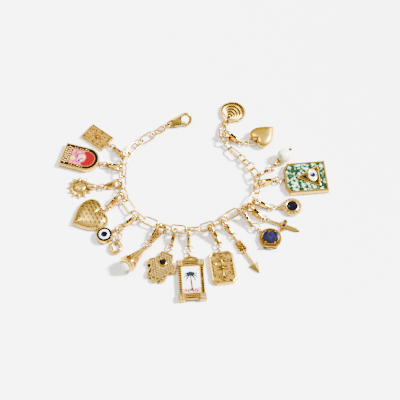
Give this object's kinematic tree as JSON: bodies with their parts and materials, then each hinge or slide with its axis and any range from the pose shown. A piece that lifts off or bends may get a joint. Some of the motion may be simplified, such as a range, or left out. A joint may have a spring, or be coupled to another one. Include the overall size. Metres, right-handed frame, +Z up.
{
  "type": "charm bracelet",
  "caption": "Gold-tone cable-link bracelet lying open, with assorted charms hanging on sprung lobster clasps and a shell at its extension end.",
  "frame": {"origin": "middle of the bracelet as it lies, on the surface that it rests on", "axes": "+X to the right across the open bracelet, +Y away from the viewer towards its open ends, +Z up"},
  "size_m": [0.1446, 0.123, 0.0097],
  "materials": {
    "polished_gold": "polished gold plate",
    "cast_gold": "satin gold plate, darkened in the relief",
    "arch_enamel": "glossy enamel in red, pink, violet, cream and black",
    "eye_glass": "glossy opaque glass with white and black rings",
    "picture_enamel": "glossy white enamel with a palm tree",
    "blue_gem": "faceted blue-violet stone",
    "dark_stone": "polished navy-black stone",
    "green_enamel": "mottled green and mint enamel",
    "pearl": "white pearl lustre"
  },
  "bodies": {
    "bracelet": {"chain": "polished_gold", "plaque_clasp": "polished_gold", "plaque_charm": "cast_gold", "arch_clasp": "polished_gold", "arch_charm": "cast_gold", "arch_enamel": "arch_enamel", "sun_clasp": "polished_gold", "sun_charm": "cast_gold", "heart_clasp": "polished_gold", "heart_charm": "cast_gold", "evil_eye_clasp": "polished_gold", "evil_eye_charm": "polished_gold", "evil_eye_glass": "eye_glass", "teardrop_charm": "polished_gold", "trumpet_clasp": "polished_gold", "trumpet_charm": "polished_gold", "hamsa_clasp": "polished_gold", "hamsa_charm": "cast_gold", "palm_clasp": "polished_gold", "palm_charm": "cast_gold", "palm_picture": "picture_enamel", "octagon_clasp": "polished_gold", "octagon_charm": "cast_gold", "arrow_clasp": "polished_gold", "arrow_charm": "cast_gold", "drop_clasp": "polished_gold", "drop_charm": "cast_gold", "drop_gem": "blue_gem", "dagger_clasp": "polished_gold", "dagger_charm": "cast_gold", "medallion_clasp": "polished_gold", "medallion_charm": "cast_gold", "medallion_stone": "dark_stone", "tag_clasp": "polished_gold", "tag_charm": "cast_gold", "tag_inlay": "green_enamel", "pearl_clasp": "polished_gold", "pearl_charm": "polished_gold", "pearl_bead": "pearl", "puff_clasp": "polished_gold", "puff_charm": "polished_gold", "main_clasp": "polished_gold", "shell_charm": "polished_gold"},
    "plaque_lever": {"plaque_lever": "polished_gold"},
    "arch_lever": {"arch_lever": "polished_gold"},
    "sun_lever": {"sun_lever": "polished_gold"},
    "heart_lever": {"heart_lever": "polished_gold"},
    "evil_eye_lever": {"evil_eye_lever": "polished_gold"},
    "trumpet_lever": {"trumpet_lever": "polished_gold"},
    "hamsa_lever": {"hamsa_lever": "polished_gold"},
    "palm_lever": {"palm_lever": "polished_gold"},
    "octagon_lever": {"octagon_lever": "polished_gold"},
    "arrow_lever": {"arrow_lever": "polished_gold"},
    "drop_lever": {"drop_lever": "polished_gold"},
    "dagger_lever": {"dagger_lever": "polished_gold"},
    "medallion_lever": {"medallion_lever": "polished_gold"},
    "tag_lever": {"tag_lever": "polished_gold"},
    "pearl_lever": {"pearl_lever": "polished_gold"},
    "puff_lever": {"puff_lever": "polished_gold"},
    "main_lever": {"main_lever": "polished_gold"}
  },
  "joints": [
    {"name": "plaque_lever_hinge", "type": "hinge", "parent": "bracelet", "child": "plaque_lever", "pos_m": [-0.03972, 0.02633, 0.00167], "axis": [-0.7771, -0.6293, 0], "range_deg": [0, 10], "stiffness_Nm_per_rad": 0.002},
    {"name": "arch_lever_hinge", "type": "hinge", "parent": "bracelet", "child": "arch_lever", "pos_m": [-0.04207, 0.01747, 0.00167], "axis": [-0.3746, -0.9272, 0], "range_deg": [0, 10], "stiffness_Nm_per_rad": 0.002},
    {"name": "sun_lever_hinge", "type": "hinge", "parent": "bracelet", "child": "sun_lever", "pos_m": [-0.04241, 0.00575, 0.00188], "axis": [0.0246, -0.8711, 0.4905], "range_deg": [0, 10], "stiffness_Nm_per_rad": 0.002},
    {"name": "heart_lever_hinge", "type": "hinge", "parent": "bracelet", "child": "heart_lever", "pos_m": [-0.04023, -0.00434, 0.00212], "axis": [0.5622, -0.7564, 0.3344], "range_deg": [0, 10], "stiffness_Nm_per_rad": 0.002},
    {"name": "evil_eye_lever_hinge", "type": "hinge", "parent": "bracelet", "child": "evil_eye_lever", "pos_m": [-0.03227, -0.01583, 0.00167], "axis": [0.5446, -0.8387, 0], "range_deg": [0, 10], "stiffness_Nm_per_rad": 0.002},
    {"name": "trumpet_lever_hinge", "type": "hinge", "parent": "bracelet", "child": "trumpet_lever", "pos_m": [-0.01804, -0.02371, 0.00214], "axis": [0.6121, -0.6203, 0.4905], "range_deg": [0, 10], "stiffness_Nm_per_rad": 0.002},
    {"name": "hamsa_lever_hinge", "type": "hinge", "parent": "bracelet", "child": "hamsa_lever", "pos_m": [-0.00983, -0.02545, 0.00167], "axis": [0.9703, -0.2419, 0], "range_deg": [0, 10], "stiffness_Nm_per_rad": 0.002},
    {"name": "palm_lever_hinge", "type": "hinge", "parent": "bracelet", "child": "palm_lever", "pos_m": [-0.0019, -0.02586, 0.00167], "axis": [0.9998, -0.0175, 0], "range_deg": [0, 10], "stiffness_Nm_per_rad": 0.002},
    {"name": "octagon_lever_hinge", "type": "hinge", "parent": "bracelet", "child": "octagon_lever", "pos_m": [0.01099, -0.02361, 0.0019], "axis": [0.866, 0.5, 0], "range_deg": [0, 10], "stiffness_Nm_per_rad": 0.002},
    {"name": "arrow_lever_hinge", "type": "hinge", "parent": "bracelet", "child": "arrow_lever", "pos_m": [0.01757, -0.01936, 0.00167], "axis": [0.766, 0.6428, 0], "range_deg": [0, 10], "stiffness_Nm_per_rad": 0.002},
    {"name": "drop_lever_hinge", "type": "hinge", "parent": "bracelet", "child": "drop_lever", "pos_m": [0.02852, -0.01346, 0.00212], "axis": [0.835, 0.437, 0.3344], "range_deg": [0, 10], "stiffness_Nm_per_rad": 0.002},
    {"name": "dagger_lever_hinge", "type": "hinge", "parent": "bracelet", "child": "dagger_lever", "pos_m": [0.03228, -0.01056, 0.0019], "axis": [0.6018, 0.7986, 0], "range_deg": [0, 10], "stiffness_Nm_per_rad": 0.002},
    {"name": "medallion_lever_hinge", "type": "hinge", "parent": "bracelet", "child": "medallion_lever", "pos_m": [0.03598, -0.00567, 0.00167], "axis": [0.342, 0.9397, 0], "range_deg": [0, 10], "stiffness_Nm_per_rad": 0.002},
    {"name": "tag_lever_hinge", "type": "hinge", "parent": "bracelet", "child": "tag_lever", "pos_m": [0.03891, 0.00745, 0.0019], "axis": [-0.4226, 0.9063, 0], "range_deg": [0, 10], "stiffness_Nm_per_rad": 0.002},
    {"name": "pearl_lever_hinge", "type": "hinge", "parent": "bracelet", "child": "pearl_lever", "pos_m": [0.03767, 0.01407, 0.00188], "axis": [-0.4358, 0.7993, 0.4138], "range_deg": [0, 10], "stiffness_Nm_per_rad": 0.002},
    {"name": "puff_lever_hinge", "type": "hinge", "parent": "bracelet", "child": "puff_lever", "pos_m": [0.02092, 0.03619, 0.0019], "axis": [0.454, 0.891, 0], "range_deg": [0, 10], "stiffness_Nm_per_rad": 0.002},
    {"name": "main_lever_hinge", "type": "hinge", "parent": "bracelet", "child": "main_lever", "pos_m": [-0.00739, 0.04598, 0.00235], "axis": [0.0625, -0.7132, 0.6982], "range_deg": [0, 10], "stiffness_Nm_per_rad": 0.002}
  ]
}
